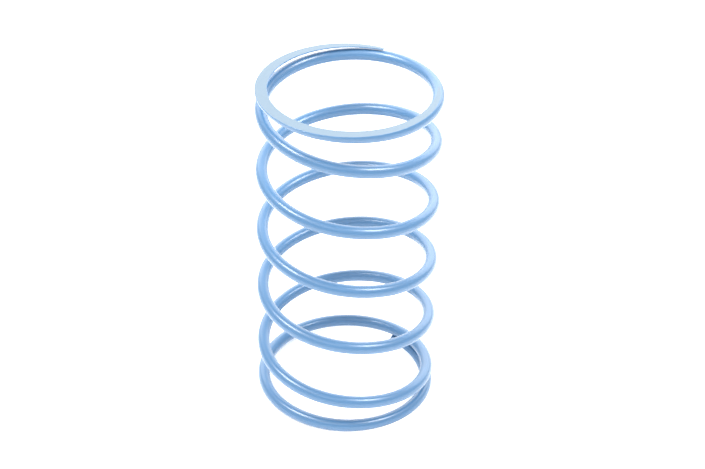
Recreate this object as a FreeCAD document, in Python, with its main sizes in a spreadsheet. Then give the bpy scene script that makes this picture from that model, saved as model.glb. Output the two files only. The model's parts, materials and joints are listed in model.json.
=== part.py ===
import FreeCAD, Part
import math
import os

from FreeCAD import Placement, Rotation, Vector

# A cold-wound helical compression spring, left hand, of one round wire. Both end coils are closed and
# ground flat. The spring's axis is Z, and the lower ground face lies on Z = 0. Lengths are millimetres.
#
# The wire is followed from its lower tip to its upper tip by a count of turns. Along it come:
#   the lower end coil    low pitch, ground flat underneath
#   the lower transition  half a turn, where the pitch opens out
#   the active coils      constant pitch
#   the upper transition  half a turn, where the pitch closes again
#   the upper end coil    low pitch, ground flat on top
#
# A spring works by its wire twisting. So between the end coils the wire is divided at every quarter of
# a turn, square to its own centreline. The cut faces are full circles that lie on each other, and they
# stay on each other as one quarter turns about the wire's centreline against the next.

SIZES = {
    "inner_diameter": 63.5,         # clear bore of the coils, which fits a 2.5 inch spring perch
    "wire_diameter": 5.0,           # with its paint
    "free_length": 141.0,           # from ground face to ground face, unloaded
    "active_quarters": 17.0,        # quarter turns of constant pitch, a whole number
    "lower_closed_turns": 0.82,     # from the lower tip to where the pitch starts to open
    "upper_closed_turns": 0.89,     # from where the pitch has closed to the upper tip
    "lower_closed_gap": 0.1,        # pitch of the lower end coil beyond the wire's own diameter
    "upper_closed_gap": 0.45,       # pitch of the upper end coil beyond the wire's own diameter
    "lower_tip_thickness": 2.0,     # what grinding leaves of the wire at the lower tip
    "upper_tip_thickness": 0.5,     # what grinding leaves of the wire at the upper tip
    "upper_tip_azimuth": 67.4,      # degrees about Z from +X, where the wire ends at the top
    "grinding_margin": 4.0,         # how far a grinding cut reaches past the wire all round
}

QUARTER_TURN = 0.25
TRANSITION_QUARTERS = 2
POINTS_PER_QUARTER = 24

# Sizes that follow from the sheet, written so that the document and this macro read the same formula.
MEAN_RADIUS = "((Sizes.inner_diameter + Sizes.wire_diameter) / 2)"
WIRE_RADIUS = "(Sizes.wire_diameter / 2)"
LOWER_PITCH = "(Sizes.wire_diameter + Sizes.lower_closed_gap)"
UPPER_PITCH = "(Sizes.wire_diameter + Sizes.upper_closed_gap)"
ACTIVE_TURNS = f"(Sizes.active_quarters * {QUARTER_TURN})"
TRANSITION_TURNS = f"({TRANSITION_QUARTERS} * {QUARTER_TURN})"
TOTAL_TURNS = (
    f"(Sizes.lower_closed_turns + Sizes.upper_closed_turns + 2 * {TRANSITION_TURNS} + {ACTIVE_TURNS})"
)
LOWEST_CENTRE = f"(Sizes.lower_tip_thickness - {WIRE_RADIUS})"
HIGHEST_CENTRE = f"(Sizes.free_length - Sizes.upper_tip_thickness + {WIRE_RADIUS})"
# Over each transition the pitch is on average halfway between the end coil's and the active pitch.
LOWER_RISE = f"({LOWER_PITCH} * (Sizes.lower_closed_turns + {TRANSITION_TURNS} / 2))"
UPPER_RISE = f"({UPPER_PITCH} * (Sizes.upper_closed_turns + {TRANSITION_TURNS} / 2))"
ACTIVE_PITCH = (
    f"(({HIGHEST_CENTRE} - {LOWEST_CENTRE} - {LOWER_RISE} - {UPPER_RISE})"
    f" / ({ACTIVE_TURNS} + {TRANSITION_TURNS}))"
)
OUTER_DIAMETER = "(Sizes.inner_diameter + 2 * Sizes.wire_diameter)"
GRINDING_WIDTH = f"({OUTER_DIAMETER} + 2 * Sizes.grinding_margin)"
GRINDING_DEPTH = "(Sizes.wire_diameter + Sizes.grinding_margin)"
HELIX_ANGLE = f"atan({ACTIVE_PITCH} / (2 * pi * {MEAN_RADIUS}))"

# The ones that the centreline needs as numbers.
CENTRE_LINE_SIZES = {
    "radius": MEAN_RADIUS,
    "wire_radius": WIRE_RADIUS,
    "lower_pitch": LOWER_PITCH,
    "active_pitch": ACTIVE_PITCH,
    "upper_pitch": UPPER_PITCH,
    "transition": TRANSITION_TURNS,
    "total": TOTAL_TURNS,
    "lowest": LOWEST_CENTRE,
}


def make_sheet(doc):
    """The driving sizes, one row each: the name in column A and the number in column B."""
    sheet = doc.addObject("Spreadsheet::Sheet", "Sizes")
    for row, (name, value) in enumerate(SIZES.items(), start=1):
        sheet.set(f"A{row}", name)
        sheet.set(f"B{row}", str(value))
        sheet.setAlias(f"B{row}", name)
    doc.recompute()
    return sheet


def make_centre_line_sizes(doc):
    """The sizes that follow from the sheet, each kept in the document with its formula."""
    sizes = doc.addObject("App::VarSet", "CentreLineSizes")
    for name, formula in CENTRE_LINE_SIZES.items():
        sizes.addProperty("App::PropertyFloat", name)
        sizes.setExpression(name, formula)
    doc.recompute()
    return sizes


class CentreLine:
    """The wire's centreline, read from the document, as a function of turns from the lower tip."""

    def __init__(self, sheet, sizes):
        self.radius = sizes.radius
        self.lower_pitch = sizes.lower_pitch
        self.active_pitch = sizes.active_pitch
        self.upper_pitch = sizes.upper_pitch
        self.transition = sizes.transition
        self.total = sizes.total
        self.lowest = sizes.lowest
        self.opens = sheet.lower_closed_turns
        self.closes = self.total - sheet.upper_closed_turns - self.transition
        self.upper_azimuth = sheet.upper_tip_azimuth

    def azimuth(self, turns):
        """Degrees about Z. A left-hand coil rises clockwise as seen from above."""
        return self.upper_azimuth + 360.0 * (self.total - turns)

    def opening(self, turns, start):
        """How far the pitch has changed over a transition that begins at start, from 0 to 1, and
        the turns that this adds up to so far."""
        part = min(max((turns - start) / self.transition, 0.0), 1.0)
        past = max(turns - start - self.transition, 0.0)
        share = (1.0 - math.cos(math.pi * part)) / 2.0
        summed = self.transition * (part / 2.0 - math.sin(math.pi * part) / (2.0 * math.pi)) + past
        return share, summed

    def pitch(self, turns):
        opened = (self.active_pitch - self.lower_pitch) * self.opening(turns, self.opens)[0]
        closed = (self.active_pitch - self.upper_pitch) * self.opening(turns, self.closes)[0]
        return self.lower_pitch + opened - closed

    def height(self, turns):
        opened = (self.active_pitch - self.lower_pitch) * self.opening(turns, self.opens)[1]
        closed = (self.active_pitch - self.upper_pitch) * self.opening(turns, self.closes)[1]
        return self.lowest + self.lower_pitch * turns + opened - closed

    def point(self, turns):
        angle = math.radians(self.azimuth(turns))
        return Vector(self.radius * math.cos(angle), self.radius * math.sin(angle), self.height(turns))

    def tangent(self, turns):
        """Unit direction of the wire, pointing towards its upper tip."""
        angle = math.radians(self.azimuth(turns))
        around = 2.0 * math.pi * self.radius
        direction = Vector(around * math.sin(angle), -around * math.cos(angle), self.pitch(turns))
        return direction.normalize()


def wire_between(line, wire_radius, start, end):
    """Round wire along the centreline from one count of turns to another, with square ends."""
    steps = max(2, math.ceil((end - start) / QUARTER_TURN * POINTS_PER_QUARTER))
    stations = [start + (end - start) * step / steps for step in range(steps + 1)]
    curve = Part.BSplineCurve()
    curve.interpolate([line.point(turns) for turns in stations])
    section = Part.Circle(line.point(start), line.tangent(start), wire_radius).toShape()
    path = Part.Wire([curve.toShape()])
    return path.makePipeShell([Part.Wire([section])], True, True)


def add_shape(doc, name, shape):
    """A document object that holds a shape made with Part's own functions."""
    piece = doc.addObject("Part::Feature", name)
    piece.Label = name
    piece.Shape = shape
    piece.Placement = Placement(Vector(0, 0, 0), Rotation(Vector(0, 0, 1), 0))
    return piece


def add_grinding_cut(doc, name, bottom):
    """The slab of space that grinding clears, centred on the axis, with its lowest face at bottom."""
    slab = doc.addObject("Part::Box", name)
    slab.setExpression("Length", GRINDING_WIDTH)
    slab.setExpression("Width", GRINDING_WIDTH)
    slab.setExpression("Height", GRINDING_DEPTH)
    slab.setExpression("Placement.Base.x", f"-{GRINDING_WIDTH} / 2")
    slab.setExpression("Placement.Base.y", f"-{GRINDING_WIDTH} / 2")
    slab.setExpression("Placement.Base.z", bottom)
    return slab


def add_end_coil(doc, name, unground, slab):
    """An end coil is its full round wire less what grinding takes off."""
    coil = doc.addObject("Part::Cut", name)
    coil.Label = name
    coil.Base = unground
    coil.Tool = slab
    return coil


def add_quarter_profile(doc):
    """The helix of one active quarter turn and the wire's round section at its start."""
    helix = doc.addObject("Part::Helix", "quarter_helix")
    helix.LocalCoord = "Left-handed"
    helix.setExpression("Radius", MEAN_RADIUS)
    helix.setExpression("Pitch", ACTIVE_PITCH)
    helix.setExpression("Height", f"{ACTIVE_PITCH} * {QUARTER_TURN}")
    section = doc.addObject("Part::Circle", "wire_section")
    section.Placement = Placement(Vector(0, 0, 0), Rotation(Vector(1, 0, 0), 45))
    section.setExpression("Radius", WIRE_RADIUS)
    section.setExpression("Placement.Base.x", MEAN_RADIUS)
    section.setExpression("Placement.Rotation.Angle", f"90 deg - {HELIX_ANGLE}")
    return helix, section


def add_active_quarter(doc, name, helix, section, index):
    """One quarter turn of constant pitch, turned and lifted to its place along the wire."""
    quarter = doc.addObject("Part::Sweep", name)
    quarter.Label = name
    quarter.Sections = [section]
    quarter.Spine = (helix, ["Edge1"])
    quarter.Solid = True
    quarter.Frenet = True
    quarter.Placement = Placement(Vector(0, 0, 0), Rotation(Vector(0, 0, 1), 45))
    turns_left = (
        f"({TOTAL_TURNS} - Sizes.lower_closed_turns - {TRANSITION_TURNS} - {index} * {QUARTER_TURN})"
    )
    # The lower transition rises at the mean of the two pitches.
    active_start = (
        f"({LOWEST_CENTRE} + {LOWER_PITCH} * Sizes.lower_closed_turns"
        f" + ({LOWER_PITCH} + {ACTIVE_PITCH}) / 2 * {TRANSITION_TURNS})"
    )
    quarter.setExpression(
        "Placement.Rotation.Angle", f"(Sizes.upper_tip_azimuth + 360 * {turns_left}) * 1 deg"
    )
    quarter.setExpression(
        "Placement.Base.z", f"{active_start} + {ACTIVE_PITCH} * {QUARTER_TURN} * {index}"
    )
    return quarter


def add_transition(doc, line, wire_radius, side, start):
    """The two quarter turns in which the pitch changes, numbered from below."""
    quarters = []
    for index in range(TRANSITION_QUARTERS):
        begin = start + index * QUARTER_TURN
        shape = wire_between(line, wire_radius, begin, begin + QUARTER_TURN)
        quarters.append(add_shape(doc, f"{side}_transition_quarter_{index + 1}", shape))
    return quarters


def build(doc):
    """Every sub-part of the spring, from the lower tip to the upper tip."""
    sheet = make_sheet(doc)
    sizes = make_centre_line_sizes(doc)
    line = CentreLine(sheet, sizes)
    wire_radius = sizes.wire_radius
    upper_coil_start = line.closes + line.transition

    lower_wire = wire_between(line, wire_radius, 0.0, line.opens)
    lower_unground = add_shape(doc, "lower_end_wire_unground", lower_wire)
    below = add_grinding_cut(doc, "grinding_below", f"-{GRINDING_DEPTH}")
    subparts = [add_end_coil(doc, "lower_end_coil", lower_unground, below)]

    subparts += add_transition(doc, line, wire_radius, "lower", line.opens)

    helix, section = add_quarter_profile(doc)
    for index in range(round(sheet.active_quarters)):
        coil, quarter = divmod(index, 4)
        name = f"coil_{coil + 1}_quarter_{quarter + 1}"
        subparts.append(add_active_quarter(doc, name, helix, section, index))

    subparts += add_transition(doc, line, wire_radius, "upper", line.closes)

    upper_wire = wire_between(line, wire_radius, upper_coil_start, line.total)
    upper_unground = add_shape(doc, "upper_end_wire_unground", upper_wire)
    above = add_grinding_cut(doc, "grinding_above", "Sizes.free_length")
    subparts.append(add_end_coil(doc, "upper_end_coil", upper_unground, above))

    doc.recompute()
    return subparts


def check(doc, subparts):
    """Stops if any object failed to compute or any sub-part is not one sound solid."""
    for item in doc.Objects:
        if "Invalid" in item.State or "Error" in item.State:
            raise RuntimeError(f"{item.Name} failed to compute: {item.State}")
    for piece in subparts:
        if piece.Shape.isNull() or not piece.Shape.isValid():
            raise RuntimeError(f"{piece.Label} has no valid shape")
        if len(piece.Shape.Solids) != 1:
            raise RuntimeError(f"{piece.Label} has {len(piece.Shape.Solids)} solids, not one")


def main():
    doc = FreeCAD.newDocument("compression_spring")
    subparts = build(doc)
    check(doc, subparts)
    os.makedirs("parts", exist_ok=True)
    for piece in subparts:
        piece.Shape.exportStep(os.path.join("parts", f"{piece.Label}.step"))
        print(f"{piece.Label}: {piece.Shape.Volume:.1f} mm3")


main()
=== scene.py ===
"""The looks of a light blue, powder-coated helical compression spring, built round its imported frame.

Every CAD node is stood for by a finer mesh of the same length of wire, in the same place. The wire's
line is worked out from the frame: each joint lies on the centreline, and its axis is the tangent there.
Lengths are in metres. Turns are counted along the wire, from the tip of the lower end coil.
"""

import json
import math

import bpy
import numpy as np
from mathutils import Matrix, Vector

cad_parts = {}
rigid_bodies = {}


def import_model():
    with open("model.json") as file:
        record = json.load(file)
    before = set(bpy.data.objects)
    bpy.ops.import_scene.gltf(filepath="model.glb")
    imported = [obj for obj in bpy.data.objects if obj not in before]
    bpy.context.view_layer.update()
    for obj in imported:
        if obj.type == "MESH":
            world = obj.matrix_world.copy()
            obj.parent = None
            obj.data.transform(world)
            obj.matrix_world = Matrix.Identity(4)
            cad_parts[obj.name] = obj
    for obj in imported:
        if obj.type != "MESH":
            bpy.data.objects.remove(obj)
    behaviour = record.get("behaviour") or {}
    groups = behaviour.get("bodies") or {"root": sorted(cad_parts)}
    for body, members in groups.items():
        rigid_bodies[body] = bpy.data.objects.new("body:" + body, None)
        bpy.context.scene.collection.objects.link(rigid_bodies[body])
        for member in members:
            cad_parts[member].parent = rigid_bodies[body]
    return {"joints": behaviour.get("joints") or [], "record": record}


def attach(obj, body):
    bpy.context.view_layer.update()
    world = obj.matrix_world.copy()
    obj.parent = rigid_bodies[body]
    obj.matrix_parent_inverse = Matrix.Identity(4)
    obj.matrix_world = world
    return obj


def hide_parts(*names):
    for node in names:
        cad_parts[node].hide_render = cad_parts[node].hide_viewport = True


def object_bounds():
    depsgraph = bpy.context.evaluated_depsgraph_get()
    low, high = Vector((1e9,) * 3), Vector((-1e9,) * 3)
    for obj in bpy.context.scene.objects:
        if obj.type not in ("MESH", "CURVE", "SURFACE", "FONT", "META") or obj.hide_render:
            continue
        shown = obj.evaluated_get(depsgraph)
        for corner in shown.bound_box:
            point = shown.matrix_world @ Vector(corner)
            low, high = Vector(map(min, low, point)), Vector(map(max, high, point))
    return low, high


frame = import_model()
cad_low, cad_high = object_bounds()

MM = 0.001

# The wire's line, in turns, where the frame doesn't give it
LOWER_CLOSED_TURNS = 0.82
UPPER_CLOSED_TURNS = 0.89
QUARTER_TURN = 0.25
TRANSITION_TURNS = 0.5

# Fineness of the meshes
RINGS_PER_QUARTER = 32
ARC_POINTS = 56
FLAT_POINTS = 6
FILLET_POINTS = 6
TIP_STEPS = 4

# Edges. The radius of a ground edge is at most EDGE_SHARE of the height that the flat leaves.
GROUND_EDGE_RADIUS = 0.22 * MM
TIP_EDGE_RADIUS = 0.16 * MM
EDGE_SHARE = 0.49

# The camera, from the middle of the wire's centreline. Lens and sensor are in millimetres.
CAMERA_DISTANCE = 788.6 * MM
CAMERA_ELEVATION = math.radians(34.27)
CAMERA_ROLL = math.radians(1.054)
CAMERA_LENS = 99.6
CAMERA_SENSOR = 36.0
CAMERA_ASIDE = -2.12 * MM
CAMERA_RAISE = -1.29 * MM
CAMERA_NEAR = 0.01
CAMERA_FAR = 50.0

# The paint's noise, as scale per metre and detail
COLOUR_NOISE = (38.0, 3.0)
ROUGHNESS_NOISE = (260.0, 4.0)
PEEL_NOISE = (900.0, 2.0)
FINE_PEEL_NOISE = (4200.0, 2.0)
NOISE_ROUGHNESS = 0.5

# The paint. Heights of its peel are in metres, and the fine peel is a share of them.
BUMP_STRENGTH = 1.0
FINE_PEEL_SHARE = 0.12
PAINT_IOR = 1.5
COAT_WEIGHT = 1.0
COAT_ROUGHNESS = 0.24
WIRE_LOOK = {
    "dark": (0.050, 0.160, 0.320),
    "light": (0.060, 0.175, 0.340),
    "roughness": (0.40, 0.48),
    "peel": 0.00003,
}
# The ground faces' colour is paler and greyer than the wire's. This is painted reflection: it stands
# for the pale sheen of the bright surroundings on the up-facing flats.
GROUND_COAT_AND_PAINTED_REFLECTION = {
    "dark": (0.075, 0.15, 0.22),
    "light": (0.085, 0.16, 0.235),
    "roughness": (0.44, 0.54),
    "peel": 0.00002,
}

# The Mix node's sockets for colours, which share their names with its other sockets
MIX_FACTOR, MIX_FIRST, MIX_SECOND = 0, 6, 7
MIX_RESULT = 2

# Slots of each mesh's materials
WIRE_SLOT, GROUND_SLOT = 0, 1

# Floor and world
FLOOR_HALF_SIDE = 4.0
FLOOR_HEIGHT = -0.0002
FLOOR_COLOUR = (0.93, 0.94, 0.95)
FLOOR_ROUGHNESS = 0.8
FLOOR_SPECULAR = 0.2
FLOOR_GLOW = 0.35
WORLD_STRENGTH = 0.9
WHITE = (1, 1, 1)

# Area lights: name, azimuth and elevation in degrees, distance from the spring's middle, width,
# height and watts. Azimuth is from +X, anticlockwise.
SOFTBOXES = (
    ("softbox_left", 187, 59, 0.9, 0.34, 0.26, 6.0),
    ("softbox_right", 346, 61, 0.9, 0.34, 0.26, 5.5),
    ("backdrop_light", 87, 29, 1.7, 3.4, 1.2, 26.0),
    ("fill", 255, 50, 1.4, 0.8, 0.6, 2.5),
)


# ---------------------------------------------------------------- the wire's line

def pitch_at(point, tangent):
    """Rise per turn of a wire that passes through point along tangent."""
    around = 2 * math.pi * math.hypot(point.x, point.y)
    return around * tangent.z / math.hypot(tangent.x, tangent.y)


class WireLine:
    """The wire's centreline as a function of turns from its lower tip."""

    def __init__(self):
        points = [Vector(joint["pos_m"]) for joint in frame["joints"]]
        tangents = [Vector(joint["axis"]).normalized() for joint in frame["joints"]]
        middle = len(points) // 2
        self.radius = math.hypot(points[0].x, points[0].y)
        self.lower_pitch = pitch_at(points[0], tangents[0])
        self.active_pitch = pitch_at(points[middle], tangents[middle])
        self.upper_pitch = pitch_at(points[-1], tangents[-1])
        self.opens = LOWER_CLOSED_TURNS
        self.total = self.opens + (len(points) - 1) * QUARTER_TURN + UPPER_CLOSED_TURNS
        self.closes = self.total - UPPER_CLOSED_TURNS - TRANSITION_TURNS
        self.start_azimuth = math.atan2(points[0].y, points[0].x) + 2 * math.pi * self.opens
        self.lowest = points[0].z - self.lower_pitch * self.opens

    def opening(self, turns, start):
        """Share of a transition that is passed, and that share summed over the turns so far."""
        part = min(max((turns - start) / TRANSITION_TURNS, 0.0), 1.0)
        past = max(turns - start - TRANSITION_TURNS, 0.0)
        share = (1 - math.cos(math.pi * part)) / 2
        return share, TRANSITION_TURNS * (part / 2 - math.sin(math.pi * part) / (2 * math.pi)) + past

    def station(self, turns):
        """Centre point, tangent, outward direction and upward direction of the wire's section."""
        opens, closes = self.opening(turns, self.opens), self.opening(turns, self.closes)
        opened, closed = self.active_pitch - self.lower_pitch, self.active_pitch - self.upper_pitch
        pitch = self.lower_pitch + opened * opens[0] - closed * closes[0]
        height = self.lowest + self.lower_pitch * turns + opened * opens[1] - closed * closes[1]
        azimuth = self.start_azimuth - 2 * math.pi * turns
        outward = Vector((math.cos(azimuth), math.sin(azimuth), 0))
        around = 2 * math.pi * self.radius
        tangent = Vector((around * outward.y, -around * outward.x, pitch)).normalized()
        centre = outward * self.radius + Vector((0, 0, height))
        return centre, tangent, outward, tangent.cross(outward)


LINE = WireLine()
WIRE_RADIUS = cad_high.x - LINE.radius
FREE_LENGTH = cad_high.z - cad_low.z
MIDDLE = Vector((0, 0, (LINE.station(0)[0].z + LINE.station(LINE.total)[0].z) / 2))


# ---------------------------------------------------------------- camera

def make_camera():
    data = bpy.data.cameras.new("camera")
    data.sensor_width = CAMERA_SENSOR
    data.lens = CAMERA_LENS
    data.clip_start = CAMERA_NEAR
    data.clip_end = CAMERA_FAR
    camera = bpy.data.objects.new("camera", data)
    bpy.context.scene.collection.objects.link(camera)
    back = Vector((0, -math.cos(CAMERA_ELEVATION), math.sin(CAMERA_ELEVATION)))
    level = Vector((1, 0, 0))
    upright = back.cross(level)
    right = math.cos(CAMERA_ROLL) * level + math.sin(CAMERA_ROLL) * upright
    up = -math.sin(CAMERA_ROLL) * level + math.cos(CAMERA_ROLL) * upright
    place = MIDDLE + back * CAMERA_DISTANCE - right * CAMERA_ASIDE - up * CAMERA_RAISE
    camera.matrix_world = Matrix((
        (right.x, up.x, back.x, place.x),
        (right.y, up.y, back.y, place.y),
        (right.z, up.z, back.z, place.z),
        (0, 0, 0, 1),
    ))
    bpy.context.scene.camera = camera


make_camera()


# ---------------------------------------------------------------- the wire's section

def arc(centre_x, centre_y, radius, start, end, points):
    """Points and normals round part of a circle, in the section's own plane."""
    angles = np.linspace(start, end, points)
    normals = np.stack([np.cos(angles), np.sin(angles)], axis=1)
    return np.array([centre_x, centre_y]) + radius * normals, normals


def round_outline(radius):
    """Full circle, from its top round by the outside, with no point twice."""
    points, normals = arc(0, 0, radius, math.pi / 2, math.pi / 2 - 2 * math.pi, ARC_POINTS + 1)
    return points[:-1], normals[:-1]


def ground_outline(radius, flat, edge):
    """A circle cut by a flat at the height flat above its centre, with rounded corners. Where the
    flat misses the circle, the flat's points lie on each other at its top."""
    flat = min(flat, radius)
    edge = min(edge, EDGE_SHARE * (flat + radius))
    corner_y = flat - edge
    corner_x = math.sqrt(max((radius - edge) ** 2 - corner_y ** 2, 0.0))
    turn = math.atan2(corner_y, corner_x)
    top = math.pi / 2
    across = np.linspace(-corner_x, corner_x, FLAT_POINTS)
    flat_points = np.stack([across, np.full(FLAT_POINTS, flat)], axis=1)
    flat_normals = np.tile([0.0, 1.0], (FLAT_POINTS, 1))
    outer = arc(corner_x, corner_y, edge, top, turn, FILLET_POINTS)
    inner = arc(-corner_x, corner_y, edge, math.pi - turn, top, FILLET_POINTS)
    main = arc(0, 0, radius, turn, -math.pi - turn, ARC_POINTS + 1)
    points = np.concatenate([flat_points, outer[0][1:], main[0][1:], inner[0][1:-1]])
    normals = np.concatenate([flat_normals, outer[1][1:], main[1][1:], inner[1][1:-1]])
    return points, normals


# ---------------------------------------------------------------- pieces of wire

def place_ring(station, outline, flip=False, cap_lean=0.0):
    """One ring of points and normals in the row frame. flip mirrors the section top to bottom, and
    cap_lean tips the normals along the wire, which rounds the edge of a cut end."""
    centre, tangent, outward, upward = [np.array(v) for v in station]
    points, normals = outline
    sign = -1.0 if flip else 1.0
    placed = centre + points[:, :1] * outward + sign * points[:, 1:] * upward
    leaned = normals[:, :1] * outward + sign * normals[:, 1:] * upward
    return placed, leaned * math.cos(cap_lean) + tangent * math.sin(cap_lean)


def mesh_from_rings(name, rings, flip=False, flat_points=0):
    """A closed tube through the rings, with a flat cap at each end and the rings' own normals.
    Faces between the first flat_points of each ring take the ground face's material, whose colour holds
    a painted reflection."""
    count = len(rings[0][0])
    vertices = np.concatenate([ring[0] for ring in rings])
    normals = np.concatenate([ring[1] for ring in rings])
    faces, slots = [], []
    for row in range(len(rings) - 1):
        for column in range(count):
            following = (column + 1) % count
            a, b = row * count + column, row * count + following
            quad = (a, b, b + count, a + count)
            faces.append(quad if flip else quad[::-1])
            slots.append(GROUND_SLOT if column < flat_points - 1 else WIRE_SLOT)
    last = (len(rings) - 1) * count
    lower_cap = tuple(range(count))
    upper_cap = tuple(range(last, last + count))
    faces += [lower_cap[::-1], upper_cap] if flip else [lower_cap, upper_cap[::-1]]
    slots += [WIRE_SLOT, WIRE_SLOT]
    mesh = bpy.data.meshes.new(name)
    mesh.from_pydata(vertices.tolist(), [], faces)
    mesh.polygons.foreach_set("material_index", slots)
    mesh.polygons.foreach_set("use_smooth", [True] * (len(faces) - 2) + [False] * 2)
    store_normals(mesh, normals)
    return mesh


def store_normals(mesh, normals):
    """Keeps the analytic normals on the side faces and each cap's own normal on the caps."""
    mesh.update()
    loops = np.zeros((len(mesh.loops), 3))
    for polygon in mesh.polygons:
        for loop in polygon.loop_indices:
            if polygon.use_smooth:
                loops[loop] = normals[mesh.loops[loop].vertex_index]
            else:
                loops[loop] = polygon.normal
    mesh.normals_split_custom_set(loops.tolist())


def steps_between(start, end):
    """Counts of turns from start to end, evenly spaced and about as close as the mesh needs."""
    steps = max(1, round((end - start) / QUARTER_TURN * RINGS_PER_QUARTER))
    return [start + (end - start) * step / steps for step in range(steps + 1)]


def make_round_piece(name, start, end):
    outline = round_outline(WIRE_RADIUS)
    rings = [place_ring(LINE.station(turns), outline) for turns in steps_between(start, end)]
    return mesh_from_rings(name, rings)


def flat_height(station, is_lower):
    """Distance from the wire's centre to the ground plane, measured in the section. The lower plane
    is at 0 and the upper one at the free length."""
    centre, upward = station[0], station[3]
    return (centre.z if is_lower else FREE_LENGTH - centre.z) / upward.z


def make_end_piece(name, start, end, is_lower):
    """An end coil: round wire ground by a plane, with the edge of its cut tip rounded off. The lower
    one has its flat underneath and its tip at its start, and the upper one the other way round."""
    wire = 2 * math.pi * LINE.radius
    tip_turns = TIP_EDGE_RADIUS / wire
    inner = (start + tip_turns, end) if is_lower else (start, end - tip_turns)
    rings = []
    for turns in steps_between(*inner):
        station = LINE.station(turns)
        outline = ground_outline(WIRE_RADIUS, flat_height(station, is_lower), GROUND_EDGE_RADIUS)
        rings.append(place_ring(station, outline, is_lower))
    tip = []
    for step in range(1, TIP_STEPS + 1):
        lean = math.pi / 2 * step / TIP_STEPS
        inset = TIP_EDGE_RADIUS * (1 - math.cos(lean))
        along = tip_turns * math.sin(lean)
        turns = inner[0] - along if is_lower else inner[1] + along
        station = LINE.station(turns)
        height = flat_height(station, is_lower) - inset
        outline = ground_outline(WIRE_RADIUS - inset, height, GROUND_EDGE_RADIUS)
        tip.append(place_ring(station, outline, is_lower, -lean if is_lower else lean))
    rings = tip[::-1] + rings if is_lower else rings + tip
    return mesh_from_rings(name, rings, is_lower, FLAT_POINTS)


# ---------------------------------------------------------------- materials

def node(tree, kind, **settings):
    made = tree.nodes.new(kind)
    for name, value in settings.items():
        setattr(made, name, value)
    return made


def noise(tree, place, scale, detail):
    made = node(tree, "ShaderNodeTexNoise")
    made.inputs["Scale"].default_value = scale
    made.inputs["Detail"].default_value = detail
    made.inputs["Roughness"].default_value = NOISE_ROUGHNESS
    tree.links.new(place, made.inputs["Vector"])
    return made.outputs["Fac"]


def remap(tree, value, low, high):
    """Value from 0 to 1, spread over low to high."""
    made = node(tree, "ShaderNodeMapRange")
    made.inputs["To Min"].default_value = low
    made.inputs["To Max"].default_value = high
    tree.links.new(value, made.inputs["Value"])
    return made.outputs["Result"]


def bump(tree, value, distance, under=None):
    made = node(tree, "ShaderNodeBump")
    made.inputs["Strength"].default_value = BUMP_STRENGTH
    made.inputs["Distance"].default_value = distance
    tree.links.new(value, made.inputs["Height"])
    if under is not None:
        tree.links.new(under, made.inputs["Normal"])
    return made.outputs["Normal"]


def make_paint(name, dark, light, roughness, peel):
    """Powder coat: a colour that drifts a little, with the soft waviness of a baked film."""
    material = bpy.data.materials.new(name)
    material.use_nodes = True
    tree = material.node_tree
    shader = tree.nodes["Principled BSDF"]
    place = node(tree, "ShaderNodeTexCoord").outputs["Object"]
    drift = noise(tree, place, *COLOUR_NOISE)
    colour = node(tree, "ShaderNodeMix", data_type="RGBA")
    colour.inputs[MIX_FIRST].default_value = (*dark, 1)
    colour.inputs[MIX_SECOND].default_value = (*light, 1)
    tree.links.new(drift, colour.inputs[MIX_FACTOR])
    tree.links.new(colour.outputs[MIX_RESULT], shader.inputs["Base Color"])
    rough = remap(tree, noise(tree, place, *ROUGHNESS_NOISE), *roughness)
    tree.links.new(rough, shader.inputs["Roughness"])
    grain = noise(tree, place, *PEEL_NOISE)
    fine = noise(tree, place, *FINE_PEEL_NOISE)
    peel_normal = bump(tree, grain, peel)
    tree.links.new(bump(tree, fine, peel * FINE_PEEL_SHARE, peel_normal), shader.inputs["Normal"])
    shader.inputs["IOR"].default_value = PAINT_IOR
    shader.inputs["Coat Weight"].default_value = COAT_WEIGHT
    shader.inputs["Coat Roughness"].default_value = COAT_ROUGHNESS
    return material


PAINT = make_paint("powder_coat", **WIRE_LOOK)
# The ground faces' paint carries a painted reflection in its paler, greyer colour.
GROUND_PAINT_AND_PAINTED_REFLECTION = make_paint("ground_face_coat_and_painted_reflection", **GROUND_COAT_AND_PAINTED_REFLECTION)


# ---------------------------------------------------------------- the spring

def add_piece(mesh, cad_node, body):
    mesh.materials.append(PAINT)
    mesh.materials.append(GROUND_PAINT_AND_PAINTED_REFLECTION)
    piece = bpy.data.objects.new(mesh.name, mesh)
    bpy.context.scene.collection.objects.link(piece)
    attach(piece, body)
    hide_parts(cad_node)


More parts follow.
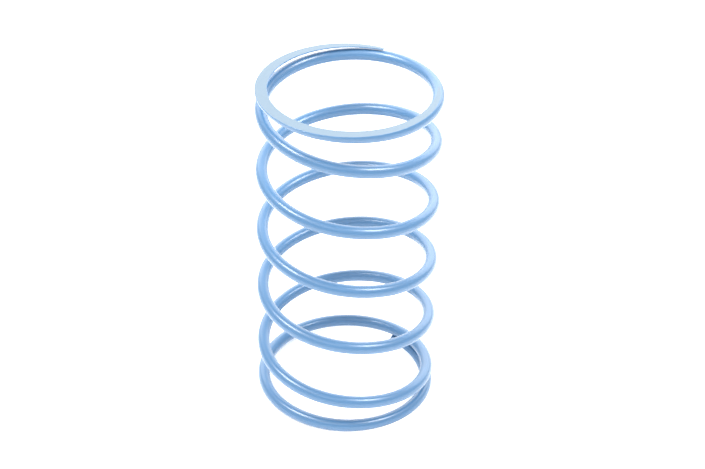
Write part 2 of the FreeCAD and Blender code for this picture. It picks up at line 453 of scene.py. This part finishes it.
def make_spring():
    """One piece of wire for each body, in the bodies' own order along the wire."""
    groups = frame["record"]["behaviour"]["bodies"]
    cuts = [0.0] + [LINE.opens + index * QUARTER_TURN for index in range(len(frame["joints"]))]
    cuts.append(LINE.total)
    chain = [frame["joints"][0]["parent"]] + [joint["child"] for joint in frame["joints"]]
    for index, body in enumerate(chain):
        cad_node = groups[body][0]
        start, end = cuts[index], cuts[index + 1]
        name = f"{cad_node}_wire"
        if index in (0, len(chain) - 1):
            mesh = make_end_piece(name, start, end, is_lower=index == 0)
        else:
            mesh = make_round_piece(name, start, end)
        add_piece(mesh, cad_node, body)


make_spring()


# ---------------------------------------------------------------- floor and light

def make_floor():
    mesh = bpy.data.meshes.new("floor")
    signs = ((-1, -1), (1, -1), (1, 1), (-1, 1))
    square = [(x * FLOOR_HALF_SIDE, y * FLOOR_HALF_SIDE, FLOOR_HEIGHT) for x, y in signs]
    mesh.from_pydata(square, [], [(0, 1, 2, 3)])
    floor = bpy.data.objects.new("floor", mesh)
    bpy.context.scene.collection.objects.link(floor)
    material = bpy.data.materials.new("floor")
    material.use_nodes = True
    shader = material.node_tree.nodes["Principled BSDF"]
    shader.inputs["Base Color"].default_value = (*FLOOR_COLOUR, 1)
    shader.inputs["Roughness"].default_value = FLOOR_ROUGHNESS
    shader.inputs["Specular IOR Level"].default_value = FLOOR_SPECULAR
    shader.inputs["Emission Color"].default_value = (*WHITE, 1)
    shader.inputs["Emission Strength"].default_value = FLOOR_GLOW
    mesh.materials.append(material)


def make_softbox(name, azimuth, elevation, distance, width, height, watts):
    """A rectangular light that faces the spring's middle."""
    data = bpy.data.lights.new(name, "AREA")
    data.shape = "RECTANGLE"
    data.size = width
    data.size_y = height
    data.energy = watts
    lamp = bpy.data.objects.new(name, data)
    bpy.context.scene.collection.objects.link(lamp)
    a, e = math.radians(azimuth), math.radians(elevation)
    back = Vector((math.cos(a) * math.cos(e), math.sin(a) * math.cos(e), math.sin(e)))
    lamp.location = MIDDLE + back * distance
    lamp.rotation_mode = "QUATERNION"
    lamp.rotation_quaternion = back.to_track_quat("Z", "Y")


def make_world():
    world = bpy.data.worlds.new("studio")
    world.use_nodes = True
    background = world.node_tree.nodes["Background"]
    background.inputs["Color"].default_value = (*WHITE, 1)
    background.inputs["Strength"].default_value = WORLD_STRENGTH
    bpy.context.scene.world = world


make_floor()
make_world()
for softbox in SOFTBOXES:
    make_softbox(*softbox)
bpy.context.scene.view_settings.view_transform = "Standard"
